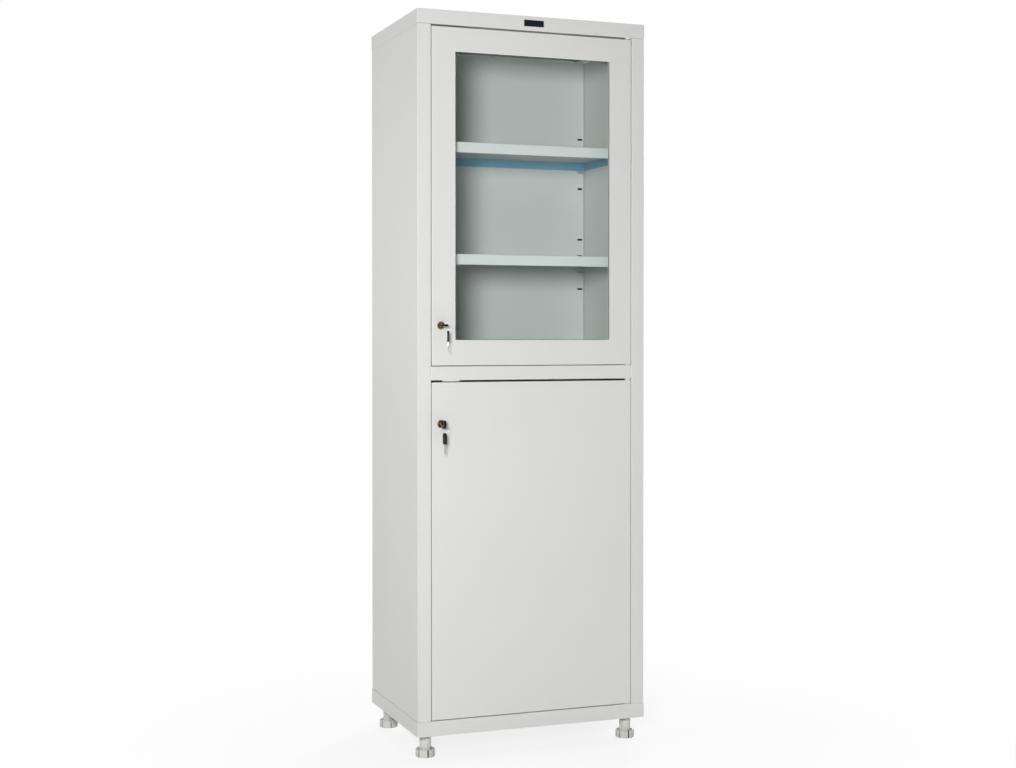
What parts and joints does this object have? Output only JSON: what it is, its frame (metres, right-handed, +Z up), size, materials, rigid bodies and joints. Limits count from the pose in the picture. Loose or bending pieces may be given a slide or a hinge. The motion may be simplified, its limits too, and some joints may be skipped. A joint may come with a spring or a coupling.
{
  "type": "glass door medical cabinet",
  "caption": "Tall narrow steel clinic cabinet on levelling feet, with a glazed upper door, a plain lower door, cam locks with keys, and lift-out shelves on clips.",
  "frame": {"origin": "on the floor, under the middle of the overall box with the keys in the locks", "axes": "+Z up, -Y to the front where the doors are, +X to the right seen from the front, the hinge side"},
  "size_m": [0.6, 0.4422, 1.807],
  "materials": {
    "grey_paint": "semi-gloss powder coat, light warm grey",
    "zinc_steel": "bright zinc plate",
    "lock_brass": "polished, slightly dull",
    "key_plastic": "black moulded bow",
    "white_nylon": "white nylon",
    "foot_plastic": "light grey moulded plastic",
    "gasket_rubber": "dark glazing strip",
    "window_glass": "clear float glass, faint green",
    "badge_plate": "bare dark plate with a pale rim"
  },
  "bodies": {
    "carcass": {"roof_panel": "grey_paint", "base_panel": "grey_paint", "left_side_panel": "grey_paint", "right_side_panel": "grey_paint", "back_panel": "grey_paint", "middle_divider": "grey_paint", "upper_shelf": "grey_paint", "middle_shelf": "grey_paint", "lower_shelf": "grey_paint", "upper_shelf_front_left_clip": "zinc_steel", "upper_shelf_front_right_clip": "zinc_steel", "upper_shelf_rear_left_clip": "zinc_steel", "upper_shelf_rear_right_clip": "zinc_steel", "middle_shelf_front_left_clip": "zinc_steel", "middle_shelf_front_right_clip": "zinc_steel", "middle_shelf_rear_left_clip": "zinc_steel", "middle_shelf_rear_right_clip": "zinc_steel", "lower_shelf_front_left_clip": "zinc_steel", "lower_shelf_front_right_clip": "zinc_steel", "lower_shelf_rear_left_clip": "zinc_steel", "lower_shelf_rear_right_clip": "zinc_steel", "top_pivot_pin": "zinc_steel", "middle_pivot_pin": "zinc_steel", "bottom_pivot_pin": "zinc_steel", "upper_door_top_washer": "white_nylon", "upper_door_bottom_washer": "white_nylon", "lower_door_top_washer": "white_nylon", "lower_door_bottom_washer": "white_nylon", "front_left_foot_sleeve": "foot_plastic", "front_right_foot_sleeve": "foot_plastic", "rear_left_foot_sleeve": "foot_plastic", "rear_right_foot_sleeve": "foot_plastic", "badge_plate": "badge_plate"},
    "upper_door": {"upper_door_frame": "grey_paint", "window_gasket": "gasket_rubber", "window_glass": "window_glass", "glass_retainer": "grey_paint", "upper_lock_barrel": "lock_brass", "upper_lock_nut": "zinc_steel"},
    "lower_door": {"lower_door_panel": "grey_paint", "lower_lock_barrel": "lock_brass", "lower_lock_nut": "zinc_steel"},
    "upper_lock": {"upper_lock_plug": "lock_brass", "upper_lock_cam": "zinc_steel"},
    "upper_key": {"upper_key": "key_plastic"},
    "upper_key_ring": {"upper_key_ring": "zinc_steel"},
    "upper_spare_key": {"upper_spare_key": "key_plastic"},
    "lower_lock": {"lower_lock_plug": "lock_brass", "lower_lock_cam": "zinc_steel"},
    "lower_key": {"lower_key": "key_plastic"},
    "lower_key_ring": {"lower_key_ring": "zinc_steel"},
    "lower_spare_key": {"lower_spare_key": "key_plastic"},
    "front_left_foot": {"front_left_foot_base": "foot_plastic", "front_left_foot_stud": "zinc_steel"},
    "front_right_foot": {"front_right_foot_base": "foot_plastic", "front_right_foot_stud": "zinc_steel"},
    "rear_left_foot": {"rear_left_foot_base": "foot_plastic", "rear_left_foot_stud": "zinc_steel"},
    "rear_right_foot": {"rear_right_foot_base": "foot_plastic", "rear_right_foot_stud": "zinc_steel"}
  },
  "joints": [
    {"name": "upper_door_hinge", "type": "hinge", "parent": "carcass", "child": "upper_door", "pos_m": [0.2555, -0.17388, 0.957], "axis": [0, 0, 1], "range_deg": [0, 110]},
    {"name": "lower_door_hinge", "type": "hinge", "parent": "carcass", "child": "lower_door", "pos_m": [0.2555, -0.17388, 0.102], "axis": [0, 0, 1], "range_deg": [0, 110]},
    {"name": "upper_lock_turn", "type": "hinge", "parent": "upper_door", "child": "upper_lock", "pos_m": [-0.2405, -0.17888, 1.0475], "axis": [0, 1, 0], "range_deg": [0, 90]},
    {"name": "upper_key_withdraw", "type": "slide", "parent": "upper_lock", "child": "upper_key", "axis": [0, -1, 0], "range_m": [0, 0.024]},
    {"name": "upper_ring_swing", "type": "hinge", "parent": "upper_key", "child": "upper_key_ring", "pos_m": [-0.2405, -0.20838, 1.0475], "axis": [0.9336, -0.3584, 0], "range_deg": [-8, 8]},
    {"name": "upper_spare_key_swing", "type": "hinge", "parent": "upper_key_ring", "child": "upper_spare_key", "pos_m": [-0.23272, -0.21136, 1.0303], "axis": [0.9336, -0.3584, 0], "range_deg": [-60, 10]},
    {"name": "lower_lock_turn", "type": "hinge", "parent": "lower_door", "child": "lower_lock", "pos_m": [-0.2405, -0.17888, 0.81], "axis": [0, 1, 0], "range_deg": [0, 90]},
    {"name": "lower_key_withdraw", "type": "slide", "parent": "lower_lock", "child": "lower_key", "axis": [0, -1, 0], "range_m": [0, 0.024]},
    {"name": "lower_ring_swing", "type": "hinge", "parent": "lower_key", "child": "lower_key_ring", "pos_m": [-0.2405, -0.20838, 0.81], "axis": [1, 0, 0], "range_deg": [-60, 10]},
    {"name": "lower_spare_key_swing", "type": "hinge", "parent": "lower_key_ring", "child": "lower_spare_key", "pos_m": [-0.2405, -0.20838, 0.7859], "axis": [1, 0, 0], "range_deg": [-60, 10]},
    {"name": "front_left_foot_adjust", "type": "slide", "parent": "carcass", "child": "front_left_foot", "axis": [0, 0, -1], "range_m": [0, 0.015]},
    {"name": "front_right_foot_adjust", "type": "slide", "parent": "carcass", "child": "front_right_foot", "axis": [0, 0, -1], "range_m": [0, 0.015]},
    {"name": "rear_left_foot_adjust", "type": "slide", "parent": "carcass", "child": "rear_left_foot", "axis": [0, 0, -1], "range_m": [0, 0.015]},
    {"name": "rear_right_foot_adjust", "type": "slide", "parent": "carcass", "child": "rear_right_foot", "axis": [0, 0, -1], "range_m": [0, 0.015]}
  ]
}
